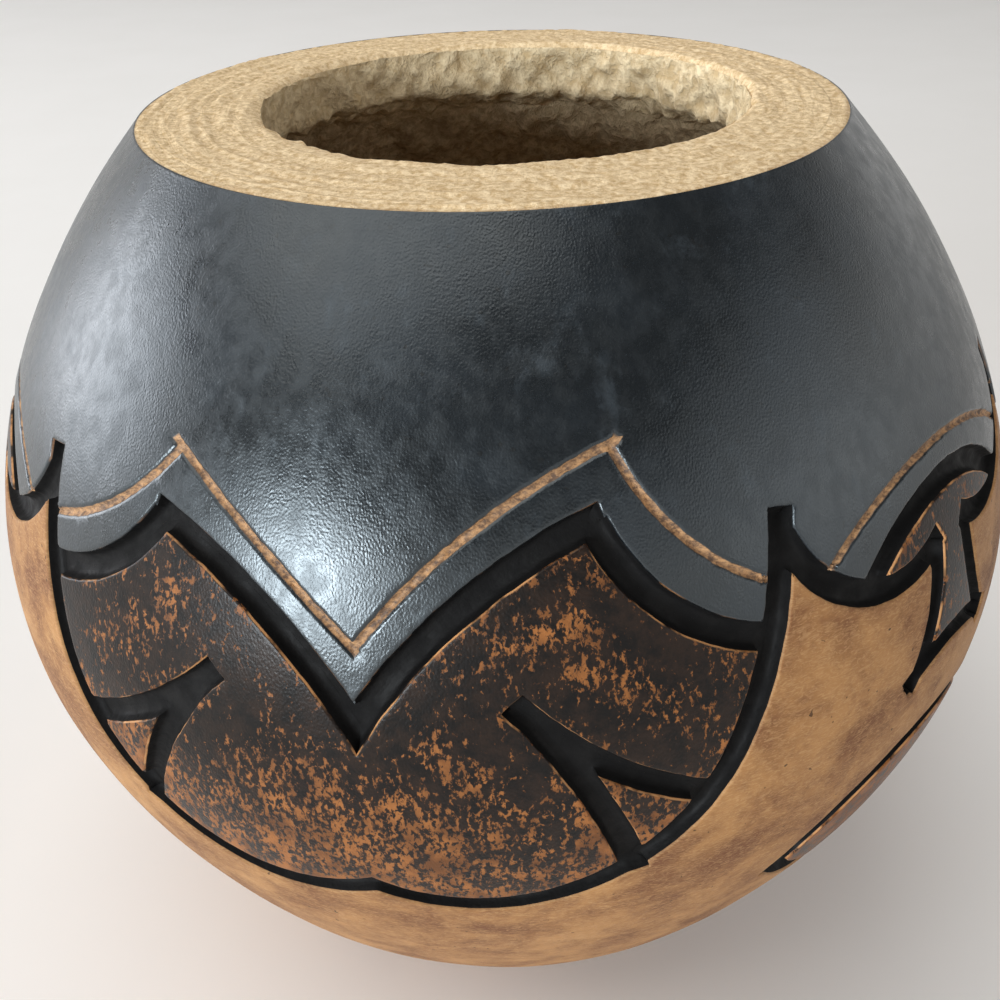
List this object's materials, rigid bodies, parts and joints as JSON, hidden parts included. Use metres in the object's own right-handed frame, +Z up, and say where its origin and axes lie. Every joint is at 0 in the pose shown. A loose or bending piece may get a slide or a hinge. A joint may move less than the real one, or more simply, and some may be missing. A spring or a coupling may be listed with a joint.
{
  "type": "carved gourd",
  "caption": "Round dried gourd sawn open at the top as a bowl, with a black shoulder and dark scalloped panels carved in its rind; it stands on a levelled base.",
  "frame": {"origin": "centre of the levelled base, on the surface that the gourd stands on", "axes": "+Z up along the fruit's axis to the open mouth, -Y through the middle of one carved panel"},
  "size_m": [0.151, 0.151, 0.134],
  "materials": {
    "fibre": "raw pale fibre: sawn on the rim, rough pith inside, blackened in the carved lines",
    "black_rind": "blue-black stain, satin, with a fine leathery grain",
    "mottled_rind": "dark brown mottle over orange brown, satin",
    "natural_rind": "natural tan rind with soft clouds and hairlines, satin"
  },
  "bodies": {
    "root": {"fibre_wall": "fibre", "shoulder_rind": "black_rind", "ground_rind": "natural_rind", "panel_1": "mottled_rind", "right_corner_1": "mottled_rind", "left_corner_1": "mottled_rind", "arch_1": "mottled_rind", "leaf_1": "mottled_rind", "panel_2": "mottled_rind", "right_corner_2": "mottled_rind", "left_corner_2": "mottled_rind", "arch_2": "mottled_rind", "leaf_2": "mottled_rind", "panel_3": "mottled_rind", "right_corner_3": "mottled_rind", "left_corner_3": "mottled_rind", "arch_3": "mottled_rind", "leaf_3": "mottled_rind"}
  },
  "joints": []
}
